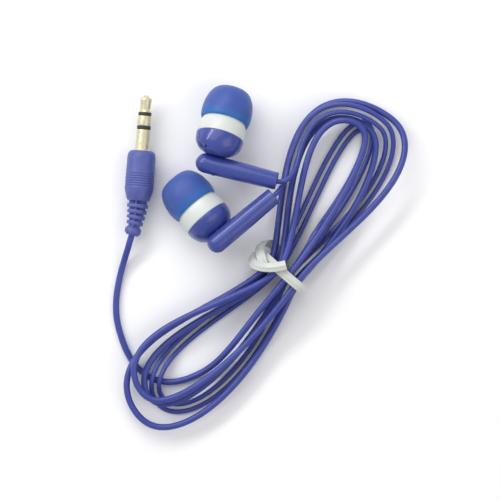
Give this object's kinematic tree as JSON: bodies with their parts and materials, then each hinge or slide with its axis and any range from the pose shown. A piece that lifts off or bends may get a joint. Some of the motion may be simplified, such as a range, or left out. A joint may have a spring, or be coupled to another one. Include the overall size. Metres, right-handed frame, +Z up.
{
  "type": "wired earphones",
  "caption": "Wired in-ear earphones with angled cable stems, silicone tips and a straight jack plug, the cord wound into a flat figure-of-eight hank held by a twist tie.",
  "frame": {"origin": "on the surface that the object lies on, under the middle of the bounding box of the two earbuds", "axes": "+Z up from the surface; +Y from the hank's lower lobe towards the jack's tip side; +X from the plug towards the hank"},
  "size_m": [0.0748, 0.087, 0.0148],
  "materials": {
    "silicone_blue": "soft translucent blue silicone",
    "plastic_blue": "glossy blue moulded plastic",
    "plastic_white": "smooth white moulded plastic",
    "pvc_blue": "satin royal blue cord jacket",
    "overmould_blue": "satin blue flexible overmould",
    "jack_plating": "pale gold plating",
    "insulator_black": "black insulating rings",
    "inner_mould": "pale hard inner moulding",
    "copper": "enamelled copper wire",
    "steel": "bright steel",
    "magnet_alloy": "plated magnet",
    "driver_plastic": "black driver frame",
    "film": "thin clear diaphragm film",
    "board_green": "green terminal board",
    "tie_plastic": "off-white plastic strip"
  },
  "bodies": {
    "earphones": {"left_front_housing": "plastic_white", "left_nozzle_mesh": "steel", "left_driver_frame": "driver_plastic", "left_pole_plate": "steel", "left_magnet": "magnet_alloy", "left_magnet_cup": "steel", "left_terminal_board": "board_green", "left_rear_housing": "plastic_blue", "left_stem": "plastic_blue", "left_lead_knot": "pvc_blue", "left_inner_lead": "pvc_blue", "left_lead_free": "pvc_blue", "left_lead_hank": "pvc_blue", "right_front_housing": "plastic_white", "right_nozzle_mesh": "steel", "right_driver_frame": "driver_plastic", "right_pole_plate": "steel", "right_magnet": "magnet_alloy", "right_magnet_cup": "steel", "right_terminal_board": "board_green", "right_rear_housing": "plastic_blue", "right_stem": "plastic_blue", "right_lead_knot": "pvc_blue", "right_inner_lead": "pvc_blue", "right_lead_free": "pvc_blue", "right_lead_hank": "pvc_blue", "jack_tip": "jack_plating", "tip_insulator": "insulator_black", "jack_ring": "jack_plating", "ring_insulator": "insulator_black", "jack_sleeve": "jack_plating", "plug_inner_mould": "inner_mould", "plug_overmould": "overmould_blue", "tip_conductor": "copper", "ring_conductor": "copper", "main_cord_free": "pvc_blue", "main_cord_hank": "pvc_blue", "y_split": "overmould_blue", "tie_sheath": "tie_plastic", "tie_wire": "steel"},
    "left_tip": {"left_ear_tip": "silicone_blue"},
    "right_tip": {"right_ear_tip": "silicone_blue"},
    "left_cone": {"left_diaphragm": "film", "left_voice_coil": "copper"},
    "right_cone": {"right_diaphragm": "film", "right_voice_coil": "copper"}
  },
  "joints": [
    {"name": "left_tip_pull", "type": "slide", "parent": "earphones", "child": "left_tip", "axis": [-0.6343, 0.7533, -0.1736], "range_m": [0, 0.003]},
    {"name": "right_tip_pull", "type": "slide", "parent": "earphones", "child": "right_tip", "axis": [0.2507, 0.9228, -0.2924], "range_m": [0, 0.003]},
    {"name": "left_cone_travel", "type": "slide", "parent": "earphones", "child": "left_cone", "axis": [-0.6343, 0.7533, -0.1736], "range_m": [-0.00015, 0.00015], "stiffness_N_per_m": 20},
    {"name": "right_cone_travel", "type": "slide", "parent": "earphones", "child": "right_cone", "axis": [0.2507, 0.9228, -0.2924], "range_m": [-0.00015, 0.00015], "stiffness_N_per_m": 20}
  ]
}
